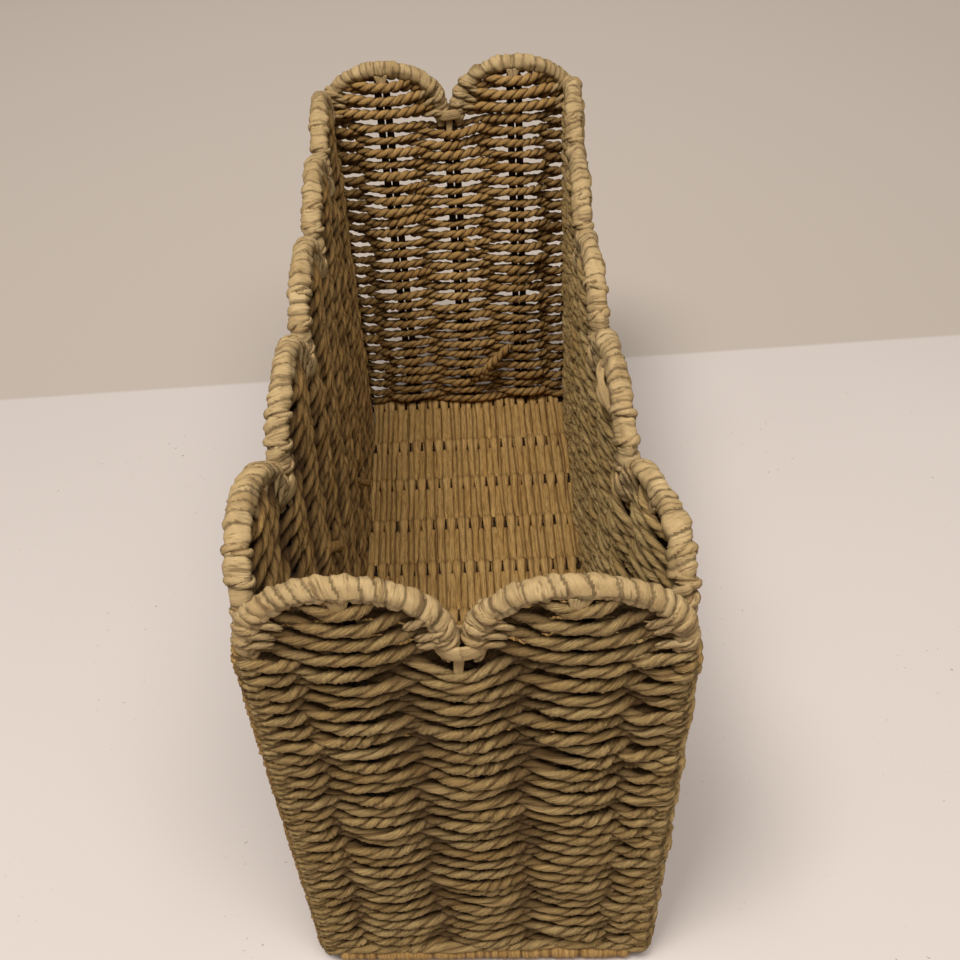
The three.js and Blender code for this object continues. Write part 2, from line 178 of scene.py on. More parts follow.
# Folds of the paper run round the wire, slanting across each turn.
FOLD_HEIGHTS = (0.08, 0.3)
FOLDS_PER_TURN = 1.8
FOLD_SLANT = 1.5
FOLD_PHASES = 6
# Lumps under several turns: their height, how many go round the wire, and their run along it
LUMPS = [(0.22, 3, 5), (0.16, 5, -2.9), (0.13, 2, 1.7)]
SIDE_ROUGHNESS = 1.2

# The band that ties two scallops together at a notch, and the strip that hangs from it over the stake
TIE_POINTS = 49
TIE_HALF_LENGTH = 5.6
TIE_HALF_DEPTH = 3.9
TIE_RISE = 0.4
TIE_WAVE = 0.5
TIE_SQUARENESS = 0.8
TIE_HALF_WIDTH = 2.3
TIE_TONE = -0.9
HANGER_LEANS = (0.5, 2)
LEAN_SHARE = 0.4
HANGER_DEPTH = 3.1
HANGER_BOW = 0.8
HANGER_LENGTH = 9.5
HANGER_HALF_WIDTH = 1.7
HANGER_NARROWING = 0.4
HANGER_HALF_THICK = 0.6

# Strands that loop over the binding beside a scallop, and where they stand on its arch
LOOP_DEGREES = {"end": [3, 17, 31], "side": [8, 30, 52]}
LOOP_STRAY = 4
LOOP_SWEEP_DEGREES = (-40, 220)
LOOP_POINTS = 19
LOOP_RADIUS = 3
LOOP_DEPTH = 3.24
LOOP_SLIP = 1.5
LOOP_END_POINTS = 6
LOOP_END_IN = 3
LOOP_END_TO_MIDDLE = 2.5
LOOP_END_DROP = 1.5
LOOP_END_DEPTH = 2
LOOP_END_SHARE = 0.15
LOOP_STEP = 1.1
LOOP_HALF_DEPTH = 1.2
LOOP_HALF_HEIGHT = 1.9
LOOP_LAY = 14
LOOP_TONE = (-0.4, 0.5)

# The end of a strip that comes out of the binding at a crest
TONGUE_STRAY = 0.6
TONGUE_LEAN = 0.8
TONGUE_DEPTH = 2.3
TONGUE_OUT = 0.6
TONGUE_TOP = 2
TONGUE_LENGTH = 5.6
TONGUE_HALF_WIDTH = 3.4
TONGUE_NARROWING = 2.2
STRIP_END_POINTS = 12
STRIP_END_TONE = -1.2

# Flat strip: points round it, and how nearly square it is across and through
BAND_FLATS = 10
BAND_SQUARENESS = (0.5, 0.7)
STRIP_HALF_THICK = 0.8

# Loose ends of rope on the inner faces, for the wall each of them belongs to, with their radius
TAILS = {
    "back": [
        ([(3, 150, 117), (6, 148, 115), (9, 147.6, 111), (7, 149.5, 107)], 1.8),
        ([(0, 150.5, 34), (6, 147.6, 30), (12, 146.8, 37), (18, 147.2, 45), (25, 150, 50)], 2.2),
        ([(3, 150.5, 27), (9, 148, 30), (13, 147.4, 36), (15, 149.8, 42)], 1.8),
    ],
    "left": [
        ([(-49.2, -64, 123), (-46.6, -57, 117), (-46.8, -50, 110), (-48.6, -46, 104)], 2.1),
        ([(-50.2, 34, 64), (-47.8, 40, 56), (-48.4, 47, 50)], 1.9),
    ],
}
TAIL_AXIS = np.array([0.2, 0.3, 1.0])
TAIL_LAY = 8
TAIL_TONE = 0.2

# The loose end of strip that stands off the right side's second binding
LEAF = [(49, -57, 202.5), (46, -60, 201.5), (46.6, -65, 199), (45.2, -69, 198.5), (48.6, -75, 196)]
LEAF_TURN_SHARES = (0.05, 0.3)
LEAF_END_HALF_WIDTH = 0.8
LEAF_HALF_WIDTH = 1.3
LEAF_RIPPLE_SHARE = 0.7
LEAF_RIPPLES = 11
LEAF_TONE = 0.2
SMOOTHINGS = 3

# Ropes of the base, over and under the cross wires
CROSS_WIRES = 9
BASE_STEP = 3.1
BASE_OVERHANG = 0.3
BASE_POINTS = 300
BASE_WIDTH = 4.5
KNUCKLE_WIDTH = 6.5
BASE_SLOPE_SHARE = 0.2
BASE_LAY = 600
# The base rope's tone is raised, as painted light
BASE_PAINTED_LIGHT_TONE = 0.5
KNUCKLE_REACH = 2.8
KNUCKLE_WIDTH_REACH = 5
KNUCKLE_DEPTH = 2.8
HOOK_REACH = 4.7
HOOK_POINTS = 11
# Painted shade on the rope where it hooks round the end wires: how dark, how far past the end wire it begins and
# over what length it comes in
HOOK_PAINTED_SHADE = 0.55
HOOK_SHADE_FROM = 1
HOOK_SHADE_FADE = 2

# Round wire, a direction that no wire runs in, and the points of a hairpin
WIRE_FLATS = 12
OFF_WIRE = [0.31, 0.87, 0.38]
LEG_POINTS = 24
BEND_POINTS = 11

# The tall sides draw in along the rim.
SIDE_LEAN = 7

# No such basket is quite true: one side leans in less than the other, both bow out near the front, and the front
# stands askew.
LEFT_SIDE_OUT = 3.4
LEFT_FRONT_OUT = 4.5
LEFT_FRONT_Y = -127
RIGHT_FRONT_OUT = 5.5
RIGHT_FRONT_Y = -140
FRONT_OUT_REACH = 31
RIGHT_FOOT_IN = 1.5
LEFT_FRONT_IN = 1.2
FRONT_TURN = 3
FOOT_FORWARD = 1.2
FOOT_TURN = 1
# How far forward the rim stands at some places along each long side, fading out towards the foot
UNEVEN_Y = [-161, -90, -30, 30, 90, 161]
RIGHT_RIM_FORWARD = [0, 9, 5.5, 6, 0, 0]
LEFT_RIM_FORWARD = [0, 5, 3, 2, -1, 0]
RIM_FORWARD_FADE = 1.5

# Shares of the texture map: each tube's own strip of it, the tube's length along it, and its two end discs
MAP_START_SHARE = 0.06
MAP_HEIGHT_SHARE = 0.88
MAP_LENGTH_SHARE = 0.97
DISC_SHARE = 0.98
DISC_WIDTH_SHARE = 0.015
DISC_HEIGHT_SHARE = 0.45


def node_box(name):
    lowest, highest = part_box(name)
    return np.array(lowest) / MM, np.array(highest) / MM


# Sizes taken from the frame
post_low, post_high = node_box("front_rim_wire")
frame_low, frame_high = node_box("bottom_frame")
HALF_WIDTH = post_high[0] - WIRE_RADIUS
HALF_LENGTH = -(post_low[1] + post_high[1]) / 2
RIM_TOP = cad_box[1][2] / MM
ROPE_OUT = WIRE_RADIUS + ROPE_DEPTH / 2
FRAME_Z = (frame_low[2] + frame_high[2]) / 2
FOOT_Z = node_box("front_stake_1")[0][2]
SIDE_REACH = node_box("right_weave")[1][1]


class Wall:
    """One wall in its own frame: u along it, v inwards from the middle of its thickness, z up."""

    def __init__(self, number, name, arches):
        self.number = number
        self.name = name
        self.is_end = number % 2 == 0
        self.distance = HALF_LENGTH if self.is_end else HALF_WIDTH
        self.corner = HALF_WIDTH if self.is_end else HALF_LENGTH
        angle = number * math.pi / 2
        self.along = np.array([math.cos(angle), math.sin(angle), 0.0])
        self.inwards = np.array([-math.sin(angle), math.cos(angle), 0.0])
        self.scallops = [self.scallop(f"{name}_rim_strip_{i + 1}") for i in range(arches)]
        self.stakes = [self.middle(f"{name}_stake_{i + 1}") for i in range(2 * arches - 1)]

    def middle(self, node):
        lowest, highest = node_box(node)
        return float((lowest + highest) @ self.along) / 2

    def scallop(self, node):
        """Middle, half width, height of the legs' feet and height of the crest of one scallop's centreline"""
        lowest, highest = node_box(node)
        half = abs(float((highest - lowest) @ self.along)) / 2 - TURN_RADIUS
        return self.middle(node), half, lowest[2], highest[2] - TURN_RADIUS

    def lean(self, u, z):
        if self.is_end:
            return np.zeros_like(u + z)
        height = np.maximum(0, z - FOOT_Z) / (RIM_TOP - FOOT_Z)
        return SIDE_LEAN * height * np.maximum(0, 1 - (u / SIDE_REACH) ** 2)

    def place(self, u, v, z):
        """Points of the part from points of the wall's frame, leant as the wall is"""
        u, v, z = np.broadcast_arrays(np.asarray(u, float), np.asarray(v, float), np.asarray(z, float))
        inwards = v - self.distance + self.lean(u, z)
        flat = u[..., None] * self.along + inwards[..., None] * self.inwards
        flat[..., 2] = z
        return flat


WALLS = [Wall(0, "front", 2), Wall(1, "right", 5), Wall(2, "back", 2), Wall(3, "left", 5)]
LEG_Z = WALLS[0].scallops[0][2]
FIRST_ROW_Z = ROPE_HEIGHT / 2
LAST_ROW_Z = LEG_Z - ROPE_HEIGHT / 2 - TOP_ROW_GAP
# An even number of steps, so that the top row passes outside the stakes under the notches
ROWS = 2 * int(round((LAST_ROW_Z - FIRST_ROW_Z) / ROW_STEP / 2)) + 1
ROW_HEIGHTS = np.linspace(FIRST_ROW_Z, LAST_ROW_Z, ROWS)
rng = np.random.default_rng(41)


def joined(parts):
    """The arrays of all parts, joined: the first ones, the second ones and so on"""
    return [np.concatenate(part) for part in zip(*parts)]


def add_object(name, data):
    made = bpy.data.objects.new(name, data)
    bpy.context.scene.collection.objects.link(made)
    return made


def unit(vectors):
    return vectors / np.linalg.norm(vectors, axis=-1, keepdims=True)


def squared(values, squareness):
    """Cosines or sines that turn a circle into a rounded square"""
    return np.sign(values) * np.abs(values) ** squareness


def lengths_along(points):
    """How far along a line each of its points lies"""
    return np.concatenate([[0], np.cumsum(np.linalg.norm(np.diff(points, axis=0), axis=1))])


def read_at(at, lengths, points):
    """The points of a line at some lengths along it"""
    return np.stack([np.interp(at, lengths, points[:, k]) for k in range(3)], axis=1)


def resample(points, step):
    """The same line with points about step apart, and how far along each lies"""
    lengths = lengths_along(points)
    at = np.linspace(0, lengths[-1], max(3, int(round(lengths[-1] / step)) + 1))
    return read_at(at, lengths, points), at


def smoothed(points):
    """A soft line through a few points, with its corners cut"""
    points = np.array(points, float)
    for _ in range(SMOOTHINGS):
        middle = (points[1:] + points[:-1]) / 2
        points = np.concatenate([points[:1], middle, points[-1:]])
    return resample(points, 1)


def eased(share):
    """0 to 1 with a slow start and a slow end"""
    return (1 - np.cos(np.pi * share)) / 2


def wander(positions, knot_step, amount):
    """A smooth random offset along a strand, with a new value every knot_step"""
    knots = np.arange(positions[0] - knot_step, positions[-1] + 2 * knot_step, knot_step)
    values = rng.normal(0, amount, len(knots))
    share = (positions - knots[0]) / knot_step
    first = np.clip(share.astype(int), 0, len(knots) - 2)
    ease = eased(share - first)
    return values[first] * (1 - ease) + values[first + 1] * ease


def taper(along, length, least):
    """1 along a strand, drawn in to least at both of its ends"""
    from_end = np.minimum(along - along[0], along[-1] - along)
    return least + (1 - least) * np.sqrt(np.clip(from_end / length, 0, 1))


def handmade(points):
    """The same points with the basket's own unevenness, which fades out towards the base and the back"""
    x, y, z = points.T
    up = np.clip((z - FOOT_Z) / (RIM_TOP - FOOT_Z), 0, 1)
    middle = np.clip(1 - (y / SIDE_REACH) ** 2, 0, 1)
    left_bulge = np.exp(-(((y - LEFT_FRONT_Y) / FRONT_OUT_REACH) ** 2))
    right_bulge = np.exp(-(((y - RIGHT_FRONT_Y) / FRONT_OUT_REACH) ** 2))
    frontward = np.clip((HALF_LENGTH - y) / (2 * HALF_LENGTH), 0, 1)
    on_left, on_right = np.clip(-x / HALF_WIDTH, 0, 1), np.clip(x / HALF_WIDTH, 0, 1)
    leftward = on_left * up * (LEFT_SIDE_OUT * middle + LEFT_FRONT_OUT * left_bulge - LEFT_FRONT_IN * frontward)
    rightward = on_right * (RIGHT_FRONT_OUT * up * right_bulge - RIGHT_FOOT_IN * frontward)
    right_forward = on_right * np.interp(y, UNEVEN_Y, RIGHT_RIM_FORWARD)
    left_forward = on_left * np.interp(y, UNEVEN_Y, LEFT_RIM_FORWARD)
    forward = FRONT_TURN * x / HALF_WIDTH * frontward + (right_forward + left_forward) * up**RIM_FORWARD_FADE
    forward = forward + (FOOT_FORWARD - FOOT_TURN * x / HALF_WIDTH) * (1 - up) * frontward
    return np.stack([x + rightward - leftward, y - forward, z], axis=1)


class Strands:
    """Closed tubes gathered into one mesh, each with its own strip of the texture map"""

    def __init__(self):
        self.tubes = []

    def add(self, rings, grain, groove, tone):
        """rings and grain are arrays of tube stations by points round, and groove, the painted shade in grooves
        and recesses, and tone go with them
        """
        self.tubes.append((rings, grain, groove, tone))

    def faces(self, row, first, stations, around):
        """Corners, face sizes and map places of one tube, whose points begin with number first"""
        i, k = np.meshgrid(np.arange(stations - 1), np.arange(around), indexing="ij")
        after = (k + 1) % around
        here, ahead = i * around, (i + 1) * around
        quads = np.stack([here + k, ahead + k, ahead + after, here + after], -1)
        low, height = (row + MAP_START_SHARE) / len(self.tubes), MAP_HEIGHT_SHARE / len(self.tubes)
        across = MAP_LENGTH_SHARE / (stations - 1)
        u = np.stack([i, i + 1, i + 1, i], -1) * across
        v = low + height * np.stack([k, k, k + 1, k + 1], -1) / around
        places = np.stack([u, v], -1).reshape(-1, 2)
        parts = [(first + quads.reshape(-1), np.full(quads.size // 4, 4), places)]
        ring = np.arange(around)
        turn = ring * FULL_TURN / around
        disc_u = DISC_SHARE + DISC_WIDTH_SHARE * (1 + np.cos(turn)) / 2
        disc_v = DISC_HEIGHT_SHARE * (1 + np.sin(turn)) / 2
        for end, shift in ((ring, 0), ((stations - 1) * around + ring[::-1], 1 / 2)):
            parts.append((first + end, [around], np.stack([disc_u, low + height * (shift + disc_v)], -1)))
        return joined(parts)

    def build(self, name, material):
        parts, first = [], 0
        for row, (rings, grain, groove, tone) in enumerate(self.tubes):
            shape = rings.shape[:2]
            marks = [np.broadcast_to(mark, shape).reshape(-1) for mark in (groove, tone)]
            faces = self.faces(row, first, *shape)
            parts.append((rings.reshape(-1, 3), grain.reshape(-1, 3), *marks, *faces))
            first += shape[0] * shape[1]
        points, grains, grooves, tones, corners, sizes, places = joined(parts)
        mesh = bpy.data.meshes.new(name)
        mesh.vertices.add(first)
        mesh.vertices.foreach_set("co", (handmade(points) * MM).astype(np.float32).ravel())
        mesh.loops.add(len(corners))
        mesh.loops.foreach_set("vertex_index", corners.astype(np.int32))
        mesh.polygons.add(len(sizes))
        starts = np.concatenate([[0], np.cumsum(sizes)[:-1]])
        mesh.polygons.foreach_set("loop_start", starts.astype(np.int32))
        mesh.update(calc_edges=True)
        mesh.polygons.foreach_set("use_smooth", np.ones(len(sizes), bool))
        layer = mesh.uv_layers.new(name="OFBake")
        layer.data.foreach_set("uv", places.astype(np.float32).ravel())
        field = mesh.attributes.new("grain", "FLOAT_VECTOR", "POINT")
        field.data.foreach_set("vector", grains.astype(np.float32).ravel())
        for title, values in (("groove", grooves), ("tone", tones)):
            field = mesh.attributes.new(title, "FLOAT", "POINT")
            field.data.foreach_set("value", values.astype(np.float32))
        mesh.materials.append(material)
        return add_object(name, mesh)


def rings_along(path, direction, toward, across):
    """Rings of points round a path, by how far they lie toward a direction and square to it"""
    tangent = unit(np.gradient(path, axis=0))
    square = unit(direction - np.sum(direction * tangent, axis=1, keepdims=True) * tangent)
    other = np.cross(square, tangent)
    return path[:, None, :] + toward[..., None] * square[:, None, :] + across[..., None] * other[:, None, :]


def grain_places(*parts):
    """Where the points lie in the paper, which each strand takes from a place of its own"""
    return np.stack(np.broadcast_arrays(*parts), -1) + rng.uniform(0, GRAIN_REACH, 3)


def add_rope(strands, path, along, depth_axis, half_depth, half_height, turn, tone, extra_painted_shade=0.0):
    """A two-ply rope along a path, with painted shade in its grooves and any extra painted shade given, and a
    grain that runs along the plies
    """
    angle = turn[:, None] + ANGLES
    deep, tall = half_depth[:, None] * SHARES * np.cos(angle), half_height[:, None] * SHARES * np.sin(angle)
    rings = rings_along(path, depth_axis, deep, tall)
    half = ROPE_HEIGHT / 2 * SHARES
    grain = grain_places(half * np.cos(ANGLES), half * np.sin(ANGLES), along[:, None])
    strands.add(rings, grain, np.maximum(GROOVE_SHADE, extra_painted_shade), tone[:, None])


def add_band(strands, path, outward, half_width, half_thick, tone):
    """A flat strip of paper along a path, its flat side facing outward"""
    around = (np.arange(BAND_FLATS) + 0.5) * FULL_TURN / BAND_FLATS
    wide = np.broadcast_to(half_width, len(path))[:, None] * squared(np.cos(around), BAND_SQUARENESS[0])
    thick = half_thick * squared(np.sin(around), BAND_SQUARENESS[1])
    grain = grain_places(wide, lengths_along(path)[:, None], thick)
    strands.add(rings_along(path, outward, thick, -wide), grain, 0.0, tone)


def add_wire(strands, points):
    """Round wire along points"""
    tangent = unit(np.gradient(points, axis=0))
    aside = unit(np.cross(tangent, OFF_WIRE))
    other = np.cross(tangent, aside)
    around = np.arange(WIRE_FLATS)[None, :, None] * FULL_TURN / WIRE_FLATS
    outward = np.cos(around) * aside[:, None, :] + np.sin(around) * other[:, None, :]
    rings = points[:, None, :] + WIRE_RADIUS * outward
    strands.add(rings, rings, 0.0, 0.0)


def rope_halves(close, step, height, fullness):
    """Half the depth and height of a rope, from the step it fills between stakes to its height on one"""
    deep = ROPE_HEIGHT / 2 + (ROPE_DEPTH / 2 - ROPE_HEIGHT / 2) * close
    return deep * fullness, (step / 2 + (height / 2 - step / 2) * close) * fullness


def depth_painted_shade(wall, depth, half_depth, turn):
    """Painted shade on a rope whose path lies depth outwards from the middle of the wall"""
    outwards = depth[:, None] + half_depth[:, None] * SHARES * np.cos(turn[:, None] + ANGLES)
    share = np.abs(outwards) / (ROPE_OUT + ROPE_DEPTH / 2)
    return DEPTH_PAINTED_SHADE[wall.number] * np.clip((SHADE_FROM[wall.number] - share) / SHADE_FADE_SHARE, 0, 1)


# The rows of the walls

def between(u, keys):
    """The number of the key before each u, and how far on from it to the next key u lies, as a share"""
    place = np.clip(np.searchsorted(keys, u, side="right") - 1, 0, len(keys) - 2)
    return place, (u - keys[place]) / (keys[place + 1] - keys[place])


def weave_offset(u, keys, values):
    """v of a strand that bears on each stake and crosses the wall midway between two"""
    place, share = between(u, keys)
    start = np.where(place == len(keys) - 3, LAST_HOLD_SHARE, HOLD_SHARE)
    end = np.where(place == 1, LAST_HOLD_SHARE, HOLD_SHARE)
    share = np.clip((share - start) / (1 - start - end), 0, 1)
    ease = (1 - STRAIGHT_SHARE) * eased(share) + STRAIGHT_SHARE * share
    return values[place] * (1 - ease) + values[place + 1] * ease


def weave_rise(v):
    """How far a strand lies above its row inside the wall, and below it outside, as a share of the sag"""
    return np.where(v > 0, INSIDE_RISE_SHARE * v, v) / ROPE_OUT


SHARED_WAVES = [
    (rng.uniform(*WAVE_ALONG), rng.uniform(*WAVE_UP), rng.uniform(0, FULL_TURN)) for _ in range(WAVES_SHARED)
]


def shared_wave(position, z):
    return sum(WAVE_HEIGHT * np.sin(a * position + b * z + c) for a, b, c in SHARED_WAVES)


def notch_sag(wall, u, row):
    """How far a row hangs below its height at the stakes under the notches"""
    depth = NOTCH_SAG[wall.number] * math.exp(-(ROWS - 1 - row) / NOTCH_SAG_ROWS)
    return depth * sum(np.exp(-2 * ((u - at) / NOTCH_SAG_REACH) ** 2) for at in wall.stakes[1::2])


def wall_line(wall, row):
    """One row's line along a wall: its points, closeness to a stake and depth outwards"""
    first_of_end = wall.is_end and row == END_FIRST_ROW
    near_corner = wall.corner - CORNER_PASS
    keys = np.array([-wall.corner, -near_corner, *wall.stakes, near_corner, wall.corner])
    outside = [first_of_end or (i + row) % 2 for i in range(-1, len(wall.stakes) + 1)]
    reaches = [CORNER_IN, *[ROPE_OUT] * len(wall.stakes), CORNER_IN]
    passes = [-ROPE_OUT if out else reach for out, reach in zip(outside, reaches)]
    values = np.array([-ROPE_OUT, *passes, -ROPE_OUT])
    u = np.linspace(-wall.corner, wall.corner, int(2 * wall.corner / ROW_POINT_STEP))
    inside = np.clip((wall.corner - np.abs(u)) / CORNER_RUN, 0, 1)
    v = weave_offset(u + wander(u, *CROSSING_STRAY) * inside, keys, values)
    sag = 0 if first_of_end else ROPE_SAG[wall.number]
    heights = ROW_HEIGHTS[row] + sag * weave_rise(v) * inside - notch_sag(wall, u, row)
    if first_of_end:
        heights = heights + END_FIRST_RISE * inside
    beside = (wall.corner - np.abs(u)) / CORNER_PASS
    at_stakes = (1 + np.cos(FULL_TURN * between(u, keys)[1])) / 2
    return wall.place(u, v, heights), np.where(beside < 1, beside, at_stakes), -v


def row_loop(row):
    """One row as a loop: its points, outward axes, closeness to a stake, wall number and depth"""
    parts = []
    for number, wall in enumerate(WALLS):
        line, close, depth = wall_line(wall, row)
        parts.append((line, np.tile(-wall.inwards, (len(line), 1)), close, np.full(len(line), number), depth))
        # Round the post at the end of this wall, to the next one
        turn = np.radians(CORNER_DEGREES)[:, None]
        outward = np.cos(turn) * -wall.inwards + np.sin(turn) * wall.along
        line = wall.place(wall.corner, 0, ROW_HEIGHTS[row]) + ROPE_OUT * outward
        owner = np.where(turn[:, 0] < math.pi / 4, number, (number + 1) % len(WALLS))
        parts.append((line, outward, np.zeros(len(turn)), owner, np.full(len(turn), ROPE_OUT)))
    return joined(parts)


def closed(values):
    return np.concatenate([values, values[:1]])


def row_rope(row):
    """One row's rope as arrays along it, the wall that owns each place, and the rope's whole turns"""
    points, axes, near, owner, depths = row_loop(row)
    lengths = lengths_along(closed(points))
    total = lengths[-1]
    count = int(round(total / RING_STEP))
    at = np.linspace(0, total, count + 1)

    def along(values):
        return np.interp(at, lengths, closed(values))

    path = read_at(at, lengths, closed(points))
    axis = unit(read_at(at, lengths, closed(axes)))
    close, depth = along(near), along(depths)
    which = closed(owner)[np.clip(np.searchsorted(lengths, at), 0, len(owner))]
    fade = np.clip(np.minimum(at, total - at) / SEAM_FADE, 0, 1)
    path[:, 2] += shared_wave(at, path[:, 2]) * fade + wander(at, *HEIGHT_STRAY) * fade
    path += axis * (wander(at, *DEPTH_STRAY) * fade)[:, None]
    # The twist is looser on some walls than on others, and closes after a whole number of turns.
    rate = along((1 / ROPE_LAY)[owner])
    wound = np.concatenate([[0], np.cumsum((rate[1:] + rate[:-1]) / 2)]) * total / count
    turns = round(wound[-1])
    turn = wound / wound[-1] * turns * FULL_TURN + wander(at, *TURN_STRAY) * fade + rng.uniform(0, FULL_TURN)
    full = 1 + wander(at, *FULLNESS_STRAY) * fade
    step, height = along((ROW_STEP + ROW_OVERLAP)[owner]), along(STAKE_ROPE_HEIGHT[owner])
    half_depth, half_height = rope_halves(close, step, height, full)
    half_height = half_height * (1 + np.clip(-depth / ROPE_OUT, 0, 1) * along(FULLER_INSIDE[owner]))
    path[:, 2] = np.maximum(path[:, 2], half_height + FLOOR_GAP)
    tone = wander(at, *TONE_STRAY) + rng.normal(0, ROW_TONE_SPREAD)
    if row == ROWS - 1:
        tone = tone + TOP_ROW_TONE
    return path, at, axis, half_depth, half_height, turn, tone, depth, which, turns


def wall_stretch(which, number):
    """A row's stations that belong to one wall, in order, with -1 for those at the row's far end"""
    inside = np.nonzero(which == number)[0]
    if inside[0] > 0 or inside[-1] < len(which) - 1:
        return inside, np.zeros(len(inside))
    split = int(np.argmax(np.diff(inside))) + 1
    before = inside[split:-1]
    return np.concatenate([before, inside[:split]]), np.concatenate([-np.ones(len(before)), np.zeros(split)])


def weave_rows():
    """The ropes that go right round the basket, cut into the four walls, as add_rope takes them"""
    pieces = {wall.name: [] for wall in WALLS}
    for row in range(ROWS):
        path, at, axis, half_depth, half_height, turn, tone, depth, which, turns = row_rope(row)
        total, count = at[-1], len(at) - 1
        for number, wall in enumerate(WALLS):
            if wall.is_end and row < END_FIRST_ROW:
                continue
            order, lap = wall_stretch(which, number)
            spot = at[order] + lap * total
            spin = turn[order] + lap * turns * FULL_TURN
            # One more ring, shared with the next wall
            order = np.append(order, (order[-1] + 1) % count)
            spot = np.append(spot, spot[-1] + total / count)
            spin = np.append(spin, spin[-1] + turns * FULL_TURN / count)
            # The lowest rows are tucked in at the corners, where the end walls don't carry them on.
            drawn = taper(spot, *CORNER_TUCK) if row < END_FIRST_ROW else np.ones(len(order))
            deep, high = half_depth[order] * drawn, half_height[order] * drawn
            # Painted shade on the parts of the row that lie deep in the wall
            extra_painted_shade = depth_painted_shade(wall, depth[order], deep, spin)
            pieces[wall.name].append((path[order], spot, axis[order], deep, high, spin, tone[order], extra_painted_shade))
    return pieces


def scallop_line(scallop):
    """The centreline of a scallop, up one leg, over the arch and down the other, as u and z"""
    middle, half, leg_z, crest_z = scallop
    spring = leg_z + LEG_HEIGHT
    angle = np.linspace(0, math.pi, SCALLOP_POINTS)
    u = middle - half * np.cos(angle)
    z = spring + (crest_z - spring) * np.sin(angle)
    return np.concatenate([[u[0]], u, [u[-1]]]), np.concatenate([[leg_z], z, [leg_z]])


def short_row(wall, scallop, z, side, strands):
    """A short row under a scallop, inside its stake or outside it by side"""
    middle, half, leg_z, crest_z = scallop
    climb = SHORT_CLIMB + SHORT_MORE_CLIMB * (z - leg_z) / (crest_z - leg_z)
    end_z = min(z + climb, crest_z - SHORT_END_GAP)
    # Half width of the arch at the height of the ends
    line_u, line_z = scallop_line(scallop)
    rising = len(line_z) // 2
    reach = np.interp(max(end_z, leg_z + SHORT_LEAST_CLIMB), line_z[:rising], middle - line_u[:rising])
    reach = min(reach, half) - SHORT_INSET
    u = np.linspace(-reach, reach, SHORT_POINTS)
    from_stake = np.clip((np.abs(u / reach) - SHORT_HOLD_SHARE) / (1 - SHORT_HOLD_SHARE), 0, 1)
    at_stake = (1 + np.cos(np.pi * from_stake)) / 2
    v = side * ROPE_OUT * at_stake
    heights = z + (end_z - z) * np.abs(u / reach) ** SHORT_CURVE + ROPE_SAG[wall.number] * weave_rise(v)
    path, at = resample(wall.place(middle + u, v, heights), RING_STEP)
    path[:, 2] += wander(at, *SHORT_STRAY)
    shares = np.linspace(0, 1, SHORT_POINTS)
    close = np.interp(at / at[-1], shares, at_stake)
    depth = np.interp(at / at[-1], shares, -v)
    drawn = taper(at, *SHORT_TAPER) * SHORT_SHARE[wall.number]
    step, height = ROW_STEP + ROW_OVERLAP[wall.number], STAKE_ROPE_HEIGHT[wall.number]
    half_depth, half_height = rope_halves(close, step, height, drawn)
    turn = at / ROPE_LAY[wall.number] * FULL_TURN + rng.uniform(0, FULL_TURN)
    tone = np.full(len(at), rng.normal(*SHORT_TONE))
    # Painted shade on the parts of the short row that lie deep in the wall
    extra_painted_shade = depth_painted_shade(wall, depth, half_depth, turn)
    add_rope(strands, path, at, -wall.inwards, half_depth, half_height, turn, tone, extra_painted_shade)


def scallop_rows(wall, strands):
    for number, scallop in enumerate(wall.scallops):
        z = LAST_ROW_Z + ROW_STEP
        row = ROWS
        while z < scallop[3] - TURN_RADIUS - SHORT_TOP_GAP:
            short_row(wall, scallop, z, -1 if (2 * number + row) % 2 else 1, strands)
            z += ROW_STEP
            row += 1


def rope_tail(strands, points, radius):
    """A loose end of rope through a few points"""
    path, at = smoothed(points)
    half = radius * (taper(at, *TAIL_TAPER) * (1 + wander(at, *TAIL_STRAY)))
    tone = np.full(len(at), TAIL_TONE)
    add_rope(strands, path, at, TAIL_AXIS, half, half, at / TAIL_LAY * FULL_TURN, tone)


# The rim

def turn_edges(length):
    """Where each turn of strip begins along the rim"""
    edges = [-TURN_WIDTH]
    while edges[-1] < length + 3 * TURN_WIDTH:
        edges.append(edges[-1] + TURN_WIDTH * rng.uniform(*TURN_WIDTH_SHARES))
    return np.array(edges)


